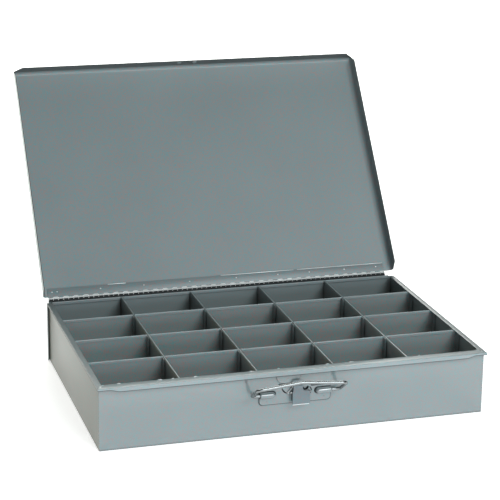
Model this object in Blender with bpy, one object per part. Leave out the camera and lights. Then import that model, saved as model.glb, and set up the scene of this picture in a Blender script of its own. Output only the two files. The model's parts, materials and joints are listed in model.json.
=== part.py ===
"""A sheet-steel compartment box with a hinged lid, for sorting small parts.

Metres, +Z up.  X runs along the front, Y runs to the back, and the case stands on z = 0 with its
centre at x = y = 0.  The lid is built in its closed place and then turned open about its hinge.
Run it with: blender --background --python part.py
"""

import math

import bmesh
import bpy
from mathutils import Vector

MM = 0.001

# Case
CASE_WIDTH = 457.2 * MM
CASE_DEPTH = 304.8 * MM
CASE_HEIGHT = 75.5 * MM
SHEET = 0.9 * MM
GAP = 0.3 * MM  # left between pieces that touch
RIM_SHEET = 1.0 * MM
RIM_INNER_X = 223.8 * MM
RIM_OUTER_X = 230.4 * MM
RIM_INNER_Y = -145.3 * MM
RIM_OUTER_Y = -157.5 * MM
SIDE_LIP_DROP = 3.0 * MM
FRONT_LIP_DROP = 5.6 * MM
FRONT_LIP_SHORT = 3.0 * MM  # the lip is shallower at both ends
LIP_END_RUN = 13.0 * MM
BACK_WRAP_OUT = 1.0 * MM  # the back panel's side flanges stand off the end panels
BACK_WRAP_LENGTH = 6.0 * MM
BACK_HEM = 2.0 * MM
HEM_HEIGHT = 4.0 * MM

# Dividers
DIVIDER = 0.8 * MM
DIVIDER_HEM = 1.8 * MM
DIVIDER_TOP = 75.2 * MM
COLUMN_PITCH = 90.15 * MM
ROW_PITCH = 76.1 * MM
MIDDLE_ROW_Y = 4.3 * MM
COLUMNS = 5
ROWS = 4
WELD_FLANGE = 9.0 * MM
FLANGE_RADIUS = 1.2 * MM

# Hinge and lid
HINGE_Y = 154.4 * MM
HINGE_Z = 78.3 * MM
HINGE_LEFT = -227.7 * MM
HINGE_RIGHT = 219.6 * MM
KNUCKLES = 14
KNUCKLE_RADIUS = 1.6 * MM
KNUCKLE_WALL = 0.6 * MM
PIN_RADIUS = 0.7 * MM
SKIN = 0.02 * MM  # a small step that keeps joined faces from coinciding
LEAF = 0.8 * MM
CASE_LEAF_DROP = 16.0 * MM
LID_LEAF_LENGTH = 14.0 * MM
LID_OPEN_DEG = 127.25
LID_X = -1.2 * MM
LID_WIDTH = 466.0 * MM
LID_FRONT = 314.7 * MM  # hinge axis to the outside of the lid's front flange
LID_BACK = 2.8 * MM
LID_INNER_ABOVE_AXIS = 0.7 * MM
LID_FLANGE = 16.2 * MM
LID_BEND = 4.0 * MM
LID_FRONT_CLIP = 10.5 * MM
LID_REAR_CLIP = 7.0 * MM
CLIP_PAST = 5.0 * MM  # how far the clipping wedges stand outside the sheet
HOLLOW_PAST_BACK = 10.0 * MM  # the lid is open at the back
DIMPLE_SPACING = 20.8 * MM
DIMPLE_RADIUS = 3.0 * MM
DIMPLE_HEIGHT = 1.3 * MM
DIMPLE_DROP = 11.2 * MM

# Latch and handle on the front panel
LATCH_X = -2.5 * MM
PLATE_WIDTH = 84.0 * MM
PLATE_BOTTOM = 36.4 * MM
PLATE_TOP = 58.5 * MM  # along the middle
PLATE_SHOULDER = 54.3 * MM  # top edge above the loops
PLATE_TONGUE = 37.0 * MM  # width of the taller middle
PLATE = 1.2 * MM
PLATE_CORNER = 4.0 * MM
HANDLE_AXIS_Y = -156.2 * MM
HANDLE_AXIS_Z = 48.6 * MM
WIRE_RADIUS = 2.0 * MM
LOOP_RADIUS = 3.3 * MM
LOOP_BORE = 2.35 * MM
LOOP_LENGTH = 18.5 * MM
LUG = 1.0 * MM
LUG_HEIGHT = 6.0 * MM
LUG_REACH = 1.8 * MM
HANDLE_WIDTH = 105.0 * MM
HANDLE_REACH = 31.0 * MM
HANDLE_LIFT_DEG = 34.0
HANDLE_BOW = 4.9 * MM
HANDLE_DIP = 3.2 * MM
HANDLE_BEND = 6.0 * MM
LEVER_X = 2.7 * MM
LEVER_AXIS_Y = -158.2 * MM
LEVER_AXIS_Z = 50.0 * MM
LEVER_BOTTOM = 35.4 * MM
LEVER_TOP = 64.2 * MM
NECK_TOP = 59.0 * MM
NOSE_SHELF = 58.8 * MM
NOSE_REACH = 5.0 * MM
LEVER_WIDTH = 20.8 * MM
LEVER_NECK = 11.0 * MM
NECK_X = -1.2 * MM
LEVER_SHEET = 1.0 * MM
LEVER_FACE_Y = -161.6 * MM
LEVER_PIN_RADIUS = 0.9 * MM
PIN_PAST = 2.4 * MM  # the pin ends this far outside the lever
SPRING_LENGTH = 8.0 * MM
SPRING_RADIUS = 2.1 * MM
TAB_X = -10.4 * MM
TAB_WIDTH = 28.0 * MM
TAB_CORNER = 8.4 * MM
TAB_BOTTOM = 60.5 * MM
TAB_TOP = 69.4 * MM

HALF_W = CASE_WIDTH / 2
HALF_D = CASE_DEPTH / 2
FRONT_IN = -HALF_D + SHEET
BACK_IN = HALF_D - SHEET
PANEL_TOP = CASE_HEIGHT - RIM_SHEET - GAP
PLATE_BACK_Y = -HALF_D - GAP
PLATE_FRONT_Y = PLATE_BACK_Y - PLATE


def clear_scene():
    for obj in list(bpy.data.objects):
        bpy.data.objects.remove(obj, do_unlink=True)


def paint(name, colour, roughness=0.4, metallic=0.0):
    """A Principled material."""
    material = bpy.data.materials.new(name)
    material.use_nodes = True
    shader = material.node_tree.nodes["Principled BSDF"]
    shader.inputs["Base Color"].default_value = (*colour, 1.0)
    shader.inputs["Roughness"].default_value = roughness
    shader.inputs["Metallic"].default_value = metallic
    material.diffuse_color = (*colour, 1.0)
    return material


def grey_paint(node):
    return paint(node + "_paint", (0.33, 0.36, 0.37))


def bright_steel(node):
    return paint(node + "_steel", (0.72, 0.72, 0.70), roughness=0.25, metallic=1.0)


def object_of(name, mesh_maker, finish):
    """One named object from a function that fills a bmesh."""
    bm = bmesh.new()
    mesh_maker(bm)
    bmesh.ops.recalc_face_normals(bm, faces=bm.faces)
    mesh = bpy.data.meshes.new(name)
    bm.to_mesh(mesh)
    bm.free()
    obj = bpy.data.objects.new(name, mesh)
    bpy.context.scene.collection.objects.link(obj)
    if finish:
        mesh.materials.append(finish(name))
    return obj


def box(bm, low, high):
    """Adds a box between two corners and returns its vertices."""
    made = bmesh.ops.create_cube(bm, size=1.0)["verts"]
    low, high = Vector(low), Vector(high)
    for vert in made:
        vert.co = Vector(low[i] + (high[i] - low[i]) * (vert.co[i] + 0.5) for i in range(3))
    return made


def prism(bm, outline, axis, start, end):
    """Extrudes a closed 2D outline along X, Y or Z; the outline's axes follow in XYZ order."""
    def place(point, along):
        first, second = point
        return {"X": (along, first, second), "Y": (first, along, second), "Z": (first, second, along)}[axis]

    ring = [bm.verts.new(place(point, start)) for point in outline]
    face = bm.faces.new(ring)
    extruded = bmesh.ops.extrude_face_region(bm, geom=[face])["geom"]
    shift = Vector(place((0.0, 0.0), end - start))
    bmesh.ops.translate(bm, verts=[v for v in extruded if isinstance(v, bmesh.types.BMVert)], vec=shift)


def arc(centre, radius, from_deg, to_deg, steps):
    """Points on an arc, both ends included."""
    angles = [math.radians(from_deg + (to_deg - from_deg) * i / steps) for i in range(steps + 1)]
    return [(centre[0] + radius * math.cos(a), centre[1] + radius * math.sin(a)) for a in angles]


def cylinder(bm, axis_start, length, radius, sides):
    """A cylinder along +X from axis_start."""
    x, y, z = axis_start
    prism(bm, arc((y, z), radius, 0, 360 - 360 / sides, sides - 1), "X", x, x + length)


def helper(name, mesh_maker):
    """A hidden mesh that a Boolean reads."""
    obj = object_of(name, mesh_maker, None)
    obj.hide_render = True
    obj.display_type = "WIRE"
    return obj


def boolean(obj, operation, name, mesh_maker):
    other = helper(obj.name + "_" + name, mesh_maker)
    other.matrix_world = obj.matrix_world.copy()
    modifier = obj.modifiers.new(name, "BOOLEAN")
    modifier.operation = operation
    modifier.object = other
    modifier.solver = "EXACT"
    return other


def round_looking(obj):
    for polygon in obj.data.polygons:
        polygon.use_smooth = True
    obj.data.set_sharp_from_angle(angle=math.radians(40))


def case_panels():
    inner_x = HALF_W - SHEET - GAP
    inner_y = BACK_IN - GAP
    end_in = HALF_W - SHEET
    for name, low, high in (
        ("floor_panel", (-inner_x, -inner_y, 0), (inner_x, inner_y, SHEET)),
        ("front_panel", (-HALF_W, -HALF_D, 0), (HALF_W, FRONT_IN, PANEL_TOP)),
        ("end_panel_left", (-HALF_W, -inner_y, 0), (-end_in, inner_y, PANEL_TOP)),
        ("end_panel_right", (end_in, -inner_y, 0), (HALF_W, inner_y, PANEL_TOP)),
    ):
        object_of(name, lambda bm: box(bm, low, high), grey_paint)


def back_panel():
    """The back wall, with a flange that wraps round each end and a hemmed top edge."""
    out = HALF_W + BACK_WRAP_OUT
    front = HALF_D - BACK_WRAP_LENGTH
    outline = [
        (-out - SHEET, front), (-out, front), (-out, BACK_IN), (out, BACK_IN),
        (out, front), (out + SHEET, front), (out + SHEET, HALF_D), (-out - SHEET, HALF_D),
    ]
    obj = object_of("back_panel", lambda bm: prism(bm, outline, "Z", 0, PANEL_TOP), grey_paint)
    hem_x = RIM_INNER_X - GAP
    boolean(obj, "UNION", "hem", lambda bm: box(
        bm, (-hem_x, HALF_D - BACK_HEM, CASE_HEIGHT - HEM_HEIGHT), (hem_x, HALF_D - SKIN, CASE_HEIGHT)))


def front_rim():
    """The front rim: a flat top with a lip that hangs lower along the middle."""
    top = CASE_HEIGHT
    low, short = top - FRONT_LIP_DROP, top - FRONT_LIP_SHORT
    end = RIM_OUTER_X
    steps = 4
    left_curve = [
        (-end + LIP_END_RUN * (1 + i / steps),
         short + (low - short) * (1 - math.cos(math.pi * i / steps)) / 2) for i in range(steps + 1)]
    right_curve = [(-x, z) for x, z in reversed(left_curve)]
    inside = top - RIM_SHEET / 2
    lip = [(-end, inside), (-end, short), *left_curve, *right_curve, (end, short), (end, inside)]
    obj = object_of("rim_front", lambda bm: box(
        bm, (-end, RIM_OUTER_Y, top - RIM_SHEET), (end, RIM_INNER_Y, top)), grey_paint)
    boolean(obj, "UNION", "lip", lambda bm: prism(
        bm, lip, "Y", RIM_OUTER_Y + SKIN / 2, RIM_OUTER_Y + SHEET))


def side_rim(side, name):
    """A side rim: a flat top with a short lip outside the end panel."""
    inner, outer = side * RIM_INNER_X, side * RIM_OUTER_X
    lip_in = side * (RIM_OUTER_X - SHEET)
    top, under, low = CASE_HEIGHT, CASE_HEIGHT - RIM_SHEET, CASE_HEIGHT - SIDE_LIP_DROP
    outline = [(inner, top), (outer, top), (outer, low), (lip_in, low), (lip_in, under), (inner, under)]
    front, back = RIM_INNER_Y + GAP, HALF_D - BACK_WRAP_LENGTH - GAP
    object_of(name, lambda bm: prism(bm, outline, "Y", front, back), grey_paint)


def column_x(index):
    """The x of long divider 1 to 4; 0 and 5 are the end panels' inner faces."""
    if index in (0, COLUMNS):
        return math.copysign(HALF_W - SHEET, index - 1)
    return (index - COLUMNS / 2) * COLUMN_PITCH


def row_y(index):
    """The y of cross divider row 1 to 3, counted from the front."""
    return MIDDLE_ROW_Y + (index - ROWS / 2) * ROW_PITCH


def long_dividers():
    """Full-depth dividers, notched under the front rim, with a hemmed top edge."""
    low, shoulder = SHEET + GAP, PANEL_TOP
    front, back = FRONT_IN + GAP, BACK_IN - GAP
    hem_front, hem_back = RIM_INNER_Y + GAP, HALF_D - BACK_HEM - GAP
    under_hem = CASE_HEIGHT - HEM_HEIGHT - GAP
    outline = [
        (front, low), (back, low), (back, under_hem), (hem_back, under_hem), (hem_back, DIVIDER_TOP),
        (hem_front, DIVIDER_TOP), (hem_front, shoulder), (front, shoulder),
    ]
    for index in range(1, COLUMNS):
        x = column_x(index)
        obj = object_of(f"long_divider_{index}", lambda bm: prism(
            bm, outline, "X", x - DIVIDER / 2, x + DIVIDER / 2), grey_paint)
        hem_low = (x - DIVIDER_HEM / 2, hem_front, DIVIDER_TOP - HEM_HEIGHT)
        hem_high = (x + DIVIDER_HEM / 2, hem_back, DIVIDER_TOP)
        boolean(obj, "UNION", "hem", lambda bm: box(bm, hem_low, hem_high))


def cross_outline(left, right, y):
    """A strip that turns towards the front at its right end, with a rounded bend."""
    inner = FLANGE_RADIUS - DIVIDER / 2
    outer = FLANGE_RADIUS + DIVIDER / 2
    centre = (right - outer, y - FLANGE_RADIUS)
    end = y - WELD_FLANGE
    return [
        (left, y - DIVIDER / 2), *arc(centre, inner, 90, 0, 3), (right - DIVIDER, end), (right, end),
        *arc(centre, outer, 0, 90, 3), (left, y + DIVIDER / 2),
    ]


def cross_dividers():
    for column in range(1, COLUMNS + 1):
        clear_left = GAP if column == 1 else DIVIDER_HEM / 2 + GAP
        clear_right = GAP if column == COLUMNS else DIVIDER_HEM / 2 + GAP
        left, right = column_x(column - 1) + clear_left, column_x(column) - clear_right
        hem_left = max(left, -RIM_INNER_X + GAP)
        hem_right = min(right, RIM_INNER_X - GAP)
        for row in range(1, ROWS):
            y = row_y(row)
            obj = object_of(f"cross_divider_{column}_{row}", lambda bm: prism(
                bm, cross_outline(left, right, y), "Z", SHEET + GAP, PANEL_TOP), grey_paint)
            hem_low = (hem_left, y - DIVIDER_HEM / 2, DIVIDER_TOP - HEM_HEIGHT)
            hem_high = (hem_right, y + DIVIDER_HEM / 2, DIVIDER_TOP)
            boolean(obj, "UNION", "hem", lambda bm: box(bm, hem_low, hem_high))


def knuckle_outline(offset, length):
    """A knuckle with the start of its leaf; the leaf runs along the first axis, off centre by offset."""
    half = LEAF / 2 - SKIN
    outer, inner = KNUCKLE_RADIUS, KNUCKLE_RADIUS - KNUCKLE_WALL
    upper = math.degrees(math.asin((offset + half) / outer))
    lower = math.degrees(math.asin((offset - half) / outer))
    slit = 3
    return [
        (length, offset + half), *arc((0, 0), outer, upper, 180 - slit, 7),
        *arc((0, 0), inner, 180 - slit, -180 + slit, 12),
        *arc((0, 0), outer, -180 + slit, lower, 7), (length, offset - half),
    ]


def knuckle_spans(first):
    """The (start, end) x of every second knuckle, counting from first."""
    pitch = (HINGE_RIGHT - HINGE_LEFT) / KNUCKLES
    return [(HINGE_LEFT + i * pitch + GAP / 2, HINGE_LEFT + (i + 1) * pitch - GAP / 2)
            for i in range(first, KNUCKLES, 2)]


def hinge_leaf(name, place, offset, length, first):
    """A flat leaf joined to its knuckles about the local origin; place turns outline points to (y, z)."""
    root = KNUCKLE_RADIUS + 0.4 * MM
    below, above = offset - LEAF / 2, offset + LEAF / 2
    strip = [place(p) for p in ((root, below), (length, below), (length, above), (root, above))]
    obj = object_of(name, lambda bm: prism(bm, strip, "X", HINGE_LEFT, HINGE_RIGHT), bright_steel)
    obj.location = (0, HINGE_Y, HINGE_Z)
    bpy.context.view_layer.update()
    outline = [place(p) for p in knuckle_outline(offset, root + 1.5 * MM)]

    def knuckles(bm):
        for start, end in knuckle_spans(first):
            prism(bm, outline, "X", start, end)

    return [obj, boolean(obj, "UNION", "knuckles", knuckles)]


def hinge():
    """The case leaf stands behind the back panel; the lid leaf lies inside the lid."""
    case_offset = -(KNUCKLE_RADIUS - LEAF / 2 - SKIN)
    hinge_leaf("hinge_leaf_case", lambda p: (p[1], -p[0]), case_offset, CASE_LEAF_DROP, 0)
    lid_leaf = hinge_leaf("hinge_leaf_lid", lambda p: (-p[0], p[1]), 0, LID_LEAF_LENGTH, 1)
    pin = object_of("hinge_pin", lambda bm: cylinder(
        bm, (HINGE_LEFT, HINGE_Y, HINGE_Z), HINGE_RIGHT - HINGE_LEFT, PIN_RADIUS, 12), bright_steel)
    round_looking(pin)
    return lid_leaf


def lid_shell(bm, inset, below):
    """The lid's outside shape, or its hollow when inset; the back and the underside are open."""
    half = LID_WIDTH / 2 - inset
    front = -LID_FRONT + inset
    back = -LID_BACK + (HOLLOW_PAST_BACK if inset else 0)
    top = LID_INNER_ABOVE_AXIS + SHEET - inset
    box(bm, (LID_X - half, front, top - LID_FLANGE - below), (LID_X + half, back, top))
    bevelled = [e for e in bm.edges if all(abs(v.co.z - top) < MM / 100 for v in e.verts)
                and not all(abs(v.co.y - back) < MM / 100 for v in e.verts)]
    bend = LID_BEND + SHEET - inset
    bmesh.ops.bevel(bm, geom=bevelled, offset=bend, segments=4, profile=0.5, affect="EDGES")


def clip_wedge(edge, run):
    """A slanted cut for a flange's end: it starts at the bend line and goes in by run at the bottom."""
    bottom = LID_INNER_ABOVE_AXIS + SHEET - LID_FLANGE
    bend_line = LID_INNER_ABOVE_AXIS - LID_BEND
    low = bottom - CLIP_PAST
    reach = run * (bend_line - low) / (bend_line - bottom)
    outside = edge - math.copysign(CLIP_PAST, run)
    return [(outside, bend_line), (edge, bend_line), (edge + reach, low), (outside, low)]


def front_clips(bm):
    for side in (-1, 1):
        outline = clip_wedge(LID_X + side * LID_WIDTH / 2, -side * LID_FRONT_CLIP)
        prism(bm, outline, "Y", -LID_FRONT - CLIP_PAST, -LID_FRONT + CLIP_PAST)


def side_clips(bm):
    for side in (-1, 1):
        x = LID_X + side * LID_WIDTH / 2
        for edge, run in ((-LID_FRONT, LID_FRONT_CLIP), (-LID_BACK, -LID_REAR_CLIP)):
            prism(bm, clip_wedge(edge, run), "X", x - CLIP_PAST, x + CLIP_PAST)


def dimples(bm):
    """Two shallow bumps on the inside of the front flange that snap under the rim's lip."""
    face = -LID_FRONT + SHEET
    for side in (-1, 1):
        x = LATCH_X + side * DIMPLE_SPACING / 2
        z = LID_INNER_ABOVE_AXIS - DIMPLE_DROP
        levels = [(1.0, -SHEET / 2), (0.8, DIMPLE_HEIGHT / 2), (0.4, DIMPLE_HEIGHT)]
        sides = 12
        made = [[bm.verts.new((px, face + rise, pz))
                 for px, pz in arc((x, z), share * DIMPLE_RADIUS, 0, 360 - 360 / sides, sides - 1)]
                for share, rise in levels]
        bm.faces.new(made[0])
        bm.faces.new(made[-1])
        for ring, following in zip(made, made[1:]):
            for i in range(sides):
                j = (i + 1) % sides
                bm.faces.new((ring[i], ring[j], following[j], following[i]))


def lid():
    obj = object_of("lid_pan", lambda bm: lid_shell(bm, 0, 0), grey_paint)
    obj.location = (0, HINGE_Y, HINGE_Z)
    bpy.context.view_layer.update()
    helpers = [
        boolean(obj, "DIFFERENCE", "hollow", lambda bm: lid_shell(bm, SHEET, 5 * MM)),
        boolean(obj, "DIFFERENCE", "front_clips", front_clips),
        boolean(obj, "DIFFERENCE", "side_clips", side_clips),
        boolean(obj, "UNION", "dimples", dimples),
    ]
    return [obj, *helpers]


def open_lid(pieces):
    for piece in pieces:
        piece.rotation_euler.x = -math.radians(LID_OPEN_DEG)


def latch_plate():
    """The plate that carries the handle's two loops and the release lever's lugs."""
    left, right = LATCH_X - PLATE_WIDTH / 2, LATCH_X + PLATE_WIDTH / 2
    r = PLATE_CORNER
    tongue_left, tongue_right = LATCH_X - PLATE_TONGUE / 2, LATCH_X + PLATE_TONGUE / 2
    outline = [
        (tongue_left, PLATE_TOP), (tongue_left, PLATE_SHOULDER), (left, PLATE_SHOULDER),
        *arc((left + r, PLATE_BOTTOM + r), r, 180, 270, 4),
        *arc((right - r, PLATE_BOTTOM + r), r, 270, 360, 4),
        (right, PLATE_SHOULDER), (tongue_right, PLATE_SHOULDER), (tongue_right, PLATE_TOP),
    ]
    obj = object_of("latch_plate", lambda bm: prism(
        bm, outline, "Y", PLATE_FRONT_Y, PLATE_BACK_Y), grey_paint)
    starts = (left, right - LOOP_LENGTH)
    root = PLATE_BACK_Y - GAP

    def loops(bm):
        half_tube = [(root, HANDLE_AXIS_Z - LOOP_RADIUS), (root, HANDLE_AXIS_Z + LOOP_RADIUS),
                     *arc((HANDLE_AXIS_Y, HANDLE_AXIS_Z), LOOP_RADIUS, 90, 270, 8)]
        for x in starts:
            prism(bm, half_tube, "X", x, x + LOOP_LENGTH)

    def lugs(bm):
        for side in (-1, 1):
            x = LEVER_X + side * (LEVER_WIDTH / 2 + LUG + GAP)
            box(bm, (x - LUG / 2, LEVER_AXIS_Y - LUG_REACH, LEVER_AXIS_Z - LUG_HEIGHT / 2),
                (x + LUG / 2, root, LEVER_AXIS_Z + LUG_HEIGHT / 2))

    def bores(bm):
        for x in starts:
            cylinder(bm, (x - MM, HANDLE_AXIS_Y, HANDLE_AXIS_Z), LOOP_LENGTH + 2 * MM, LOOP_BORE, 12)
        past_lugs = LEVER_WIDTH / 2 + 3 * LUG
        cylinder(bm, (LEVER_X - past_lugs, LEVER_AXIS_Y, LEVER_AXIS_Z), 2 * past_lugs,
                 LEVER_PIN_RADIUS + GAP, 10)

    boolean(obj, "UNION", "loops", loops)
    boolean(obj, "UNION", "lugs", lugs)
    boolean(obj, "DIFFERENCE", "bores", bores)


def handle_points():
    """The handle's centreline: in from one loop, out along a leg, across the grip and back."""
    tilt = math.radians(HANDLE_LIFT_DEG)
    out = Vector((0, -math.cos(tilt), math.sin(tilt)))
    up = Vector((0, math.sin(tilt), math.cos(tilt)))
    pivot = Vector((LATCH_X, HANDLE_AXIS_Y, HANDLE_AXIS_Z))
    half = HANDLE_WIDTH / 2
    inner = PLATE_WIDTH / 2 - LOOP_LENGTH + MM
    side = Vector((1, 0, 0))
    bend = HANDLE_BEND
    foot = pivot + side * (half - bend) + out * bend
    corner = pivot + side * (half - bend) + out * (HANDLE_REACH - bend)
    right = [pivot + side * inner]
    right += [foot + side * c + out * s for c, s in arc((0, 0), bend, -90, 0, 3)]
    right += [corner + side * c + out * s for c, s in arc((0, 0), bend, 0, 90, 3)]
    middle = pivot + out * (HANDLE_REACH - HANDLE_DIP) + up * HANDLE_BOW
    left = [p - side * 2 * (p - pivot).x for p in reversed(right)]
    return right + [middle] + left


def carry_handle():
    curve = bpy.data.curves.new("carry_handle", "CURVE")
    curve.dimensions = "3D"
    curve.bevel_depth = WIRE_RADIUS
    curve.bevel_resolution = 1
    curve.use_fill_caps = True
    points = handle_points()
    spline = curve.splines.new("POLY")
    spline.points.add(len(points) - 1)
    for target, point in zip(spline.points, points):
        target.co = (*point, 1.0)
    obj = bpy.data.objects.new("carry_handle", curve)
    bpy.context.scene.collection.objects.link(obj)
    curve.materials.append(bright_steel("carry_handle"))
    weld = obj.modifiers.new("weld", "WELD")
    weld.merge_threshold = MM / 100


def release_lever():
    """A rocking lever: its lower end is pressed in and its neck pushes the closed lid's flange out."""
    wide, neck = LEVER_WIDTH / 2, LEVER_NECK / 2
    face, back = LEVER_FACE_Y, LEVER_FACE_Y + LEVER_SHEET
    shoulder, throat = LEVER_AXIS_Z + 1.5 * MM, LEVER_AXIS_Z + 4 * MM
    outline = [(LEVER_X - wide, LEVER_BOTTOM), (LEVER_X + wide, LEVER_BOTTOM), (LEVER_X + wide, shoulder),
               (NECK_X + neck, throat), (NECK_X + neck, NECK_TOP), (NECK_X - neck, NECK_TOP),
               (NECK_X - neck, throat), (LEVER_X - wide, shoulder)]
    obj = object_of("release_lever", lambda bm: prism(bm, outline, "Y", face, back), grey_paint)
    root = face + GAP

    def nose(bm):
        tip, tip_front, under = face + NOSE_REACH, face + NOSE_REACH - LEVER_SHEET, NOSE_SHELF - LEVER_SHEET
        profile = [(root, under), (tip, under), (tip, LEVER_TOP), (tip_front, LEVER_TOP),
                   (tip_front, NOSE_SHELF), (root, NOSE_SHELF)]
        prism(bm, profile, "X", NECK_X - neck + SKIN, NECK_X + neck - SKIN)

    def ears(bm):
        ear = [(root, LEVER_AXIS_Z - 7 * MM), (root, shoulder - SKIN),
               *arc((LEVER_AXIS_Y, LEVER_AXIS_Z), 2.1 * MM, 45, -60, 4)]
        for side in (-1, 1):
            x = LEVER_X + side * (wide - LEVER_SHEET / 2)
            prism(bm, ear, "X", x - LEVER_SHEET / 2 + SKIN, x + LEVER_SHEET / 2 - SKIN)

    def bore(bm):
        cylinder(bm, (LEVER_X - LEVER_WIDTH, LEVER_AXIS_Y, LEVER_AXIS_Z), 2 * LEVER_WIDTH,
                 LEVER_PIN_RADIUS + GAP, 10)

    boolean(obj, "UNION", "nose", nose)
    boolean(obj, "UNION", "ears", ears)
    boolean(obj, "DIFFERENCE", "bore", bore)


def lever_pin_and_spring():
    half = LEVER_WIDTH / 2 + PIN_PAST
    pin = object_of("lever_pin", lambda bm: cylinder(
        bm, (LEVER_X - half, LEVER_AXIS_Y, LEVER_AXIS_Z), 2 * half, LEVER_PIN_RADIUS, 12), bright_steel)
    round_looking(pin)
    spring = object_of("lever_spring", lambda bm: cylinder(
        bm, (LEVER_X - SPRING_LENGTH / 2, LEVER_AXIS_Y, LEVER_AXIS_Z), SPRING_LENGTH, SPRING_RADIUS, 12),
        bright_steel)
    boolean(spring, "DIFFERENCE", "bore", lambda bm: cylinder(
        bm, (LEVER_X - SPRING_LENGTH, LEVER_AXIS_Y, LEVER_AXIS_Z), 2 * SPRING_LENGTH,
        LEVER_PIN_RADIUS + GAP, 12))


def lip_tab():
    """A rounded tab that shows under the front lip."""
    left, right, r = TAB_X - TAB_WIDTH / 2, TAB_X + TAB_WIDTH / 2, TAB_CORNER
    outline = [(left, TAB_TOP), *arc((left + r, TAB_BOTTOM + r), r, 180, 270, 4),
               *arc((right - r, TAB_BOTTOM + r), r, 270, 360, 4), (right, TAB_TOP)]
    object_of("lip_tab", lambda bm: prism(bm, outline, "Y", PLATE_FRONT_Y, PLATE_BACK_Y), grey_paint)


def main():
    clear_scene()
    case_panels()
    back_panel()
    front_rim()
    side_rim(-1, "rim_left")
    side_rim(1, "rim_right")
    long_dividers()
    cross_dividers()
    lid_pieces = lid() + hinge()
    open_lid(lid_pieces)
    latch_plate()
    carry_handle()
    release_lever()
    lever_pin_and_spring()
    lip_tab()


main()
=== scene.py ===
"""Looks for the sheet-steel compartment box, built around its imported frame.

Metres, in the frame's own axes: X along the front, Y to the back, +Z up.  Lid pieces are made in
the lid's closed place, measured from the hinge axis, and then turned to its open rest angle.
"""

import json
import math
import random

import bmesh
import bpy
from mathutils import Euler, Matrix, Vector

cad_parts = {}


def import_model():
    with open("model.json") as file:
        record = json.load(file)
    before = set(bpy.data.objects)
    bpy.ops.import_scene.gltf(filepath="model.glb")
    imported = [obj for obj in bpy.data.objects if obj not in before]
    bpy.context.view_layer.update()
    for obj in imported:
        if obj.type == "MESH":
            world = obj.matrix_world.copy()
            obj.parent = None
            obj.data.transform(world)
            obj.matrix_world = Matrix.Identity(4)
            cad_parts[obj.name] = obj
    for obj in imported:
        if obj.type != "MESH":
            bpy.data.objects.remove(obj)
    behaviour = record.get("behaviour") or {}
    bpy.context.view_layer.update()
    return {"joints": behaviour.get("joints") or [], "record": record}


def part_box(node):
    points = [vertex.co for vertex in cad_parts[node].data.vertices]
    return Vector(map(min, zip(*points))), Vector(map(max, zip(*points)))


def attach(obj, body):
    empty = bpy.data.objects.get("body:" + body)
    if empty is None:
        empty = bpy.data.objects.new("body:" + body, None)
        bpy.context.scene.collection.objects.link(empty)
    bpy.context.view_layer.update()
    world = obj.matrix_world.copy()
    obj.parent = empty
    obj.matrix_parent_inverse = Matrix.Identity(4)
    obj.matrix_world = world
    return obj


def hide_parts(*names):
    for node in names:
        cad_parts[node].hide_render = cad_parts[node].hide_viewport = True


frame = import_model()

MM = 0.001
BODY_OF = {node: body for body, nodes in frame["record"]["behaviour"]["bodies"].items() for node in nodes}
JOINT = {joint["name"]: joint for joint in frame["joints"]}


def low_of(node):
    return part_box(node)[0]


def high_of(node):
    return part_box(node)[1]


# ---------------------------------------------------------------- materials

MOTTLE, SPECKLE, SHEET_WAVE, SPRAY_GRAIN = 9.0, 640.0, 6.0, 330.0  # noise scales of the enamel
DRAWN_GRAIN, BLOTCH = 2600.0, 45.0  # and of the steel
# how far the painted shade at seams reaches
CREVICE_SHADE_REACH = 2.6 * MM


def node_of(tree, kind, **inputs):
    """A shader node with some inputs set; an underscore stands for a space in an input's name."""
    node = tree.nodes.new(kind)
    for name, value in inputs.items():
        node.inputs[name.replace("_", " ")].default_value = value
    return node


def surface(name):
    """An empty Principled material: (material, its tree, its shader)."""
    material = bpy.data.materials.new(name)
    material.use_nodes = True
    tree = material.node_tree
    return material, tree, tree.nodes["Principled BSDF"]


def noise(tree, where, scale, detail=3.0, roughness=0.55):
    node = node_of(tree, "ShaderNodeTexNoise", Scale=scale, Detail=detail, Roughness=roughness)
    tree.links.new(where, node.inputs["Vector"])
    return node.outputs["Fac"]


def remap(tree, value, low, high, to_low, to_high):
    node = node_of(tree, "ShaderNodeMapRange", From_Min=low, From_Max=high, To_Min=to_low, To_Max=to_high)
    tree.links.new(value, node.inputs["Value"])
    return node.outputs["Result"]


def blend_colour(tree, share, first, second, mode="MIX"):
    node = tree.nodes.new("ShaderNodeMix")
    node.data_type = "RGBA"
    node.blend_type = mode
    for socket, value in ((node.inputs[6], first), (node.inputs[7], second)):
        if isinstance(value, tuple):
            socket.default_value = (*value, 1.0)
        else:
            tree.links.new(value, socket)
    if isinstance(share, float):
        node.inputs[0].default_value = share
    else:
        tree.links.new(share, node.inputs[0])
    return node.outputs[2]


def painted_crevice_shade(tree, reach, darkest):
    """Painted shade: 1 on open sheet, down to darkest at each seam and where pieces meet."""
    closeness = node_of(tree, "ShaderNodeAmbientOcclusion", Distance=reach)
    closeness.samples = 6
    return remap(tree, closeness.outputs["AO"], 0.45, 0.92, darkest, 1.0)


def bumps(tree, shader, layers):
    """Chains (height, strength, distance) bump layers into the shader's normal."""
    last = None
    for height, strength, distance in layers:
        node = node_of(tree, "ShaderNodeBump", Strength=strength, Distance=distance)
        tree.links.new(height, node.inputs["Height"])
        if last:
            tree.links.new(last, node.inputs["Normal"])
        last = node.outputs["Normal"]
    tree.links.new(last, shader.inputs["Normal"])


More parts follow.
